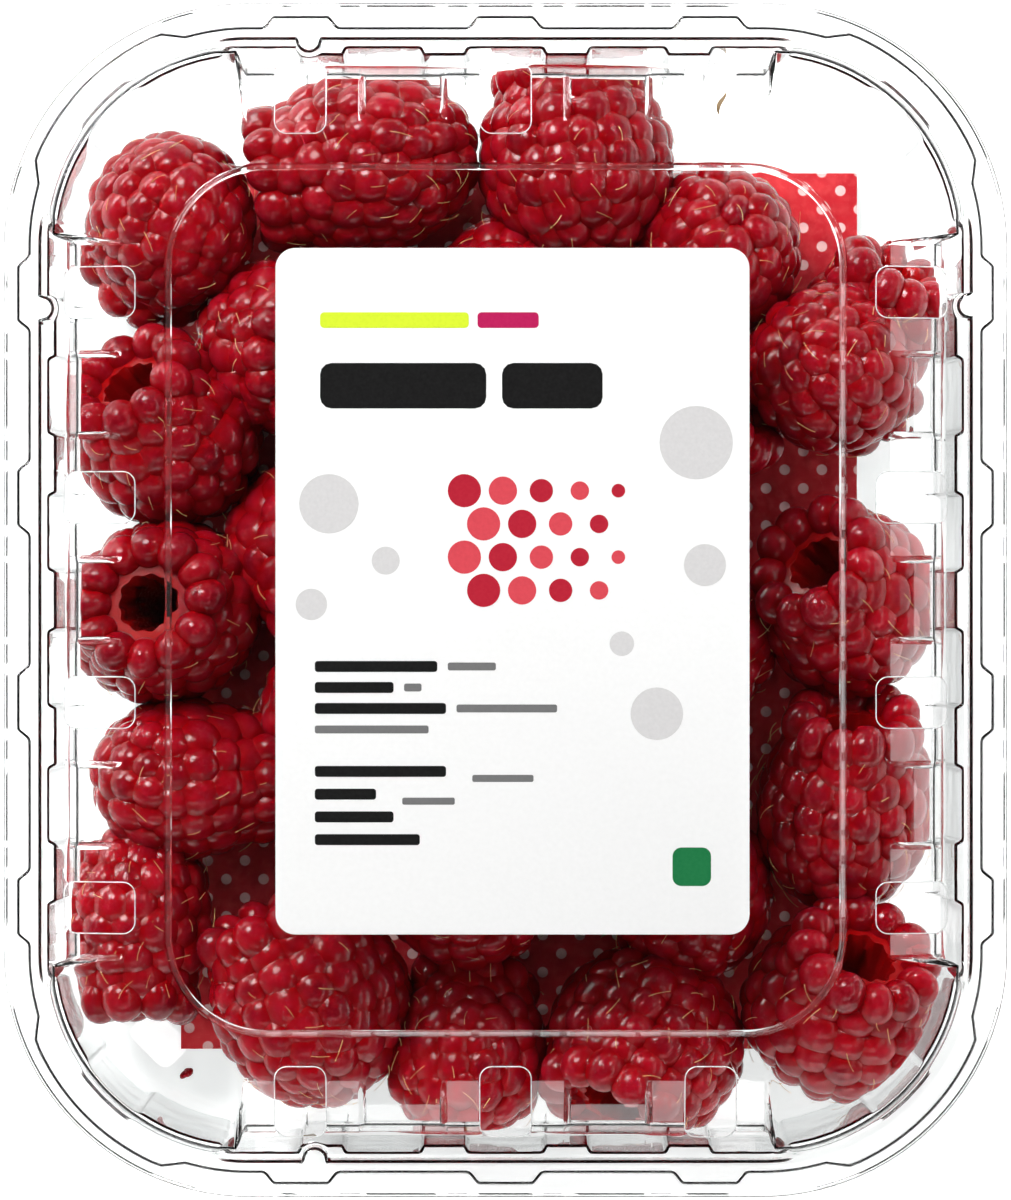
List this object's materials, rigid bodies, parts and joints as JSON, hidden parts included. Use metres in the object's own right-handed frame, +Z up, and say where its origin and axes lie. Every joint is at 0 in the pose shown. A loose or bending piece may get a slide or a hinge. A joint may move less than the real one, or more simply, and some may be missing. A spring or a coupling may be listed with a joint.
{
  "type": "punnet of raspberries",
  "caption": "Shut clear plastic punnet of fresh raspberries: fluted tray, vented push-fit lid with stacking lugs, paper label and absorbent pad.",
  "frame": {"origin": "middle of the footprint, on the surface the tray stands on", "axes": "+Z up out of the lid; +Y along the pack's long side, towards the top of the label; +X to the right of the label"},
  "size_m": [0.116, 0.138, 0.036],
  "materials": {
    "tray_plastic": "clear, glossy",
    "lid_plastic": "clear, glossy",
    "label_paper": "satin coated, printed with plain shapes",
    "absorbent_pad": "dimpled nonwoven",
    "raspberry": "soft juicy drupelets with fine hairs"
  },
  "bodies": {
    "root": {"tray": "tray_plastic", "lid": "lid_plastic", "label": "label_paper", "pad": "absorbent_pad", "berries": "raspberry"}
  },
  "joints": []
}
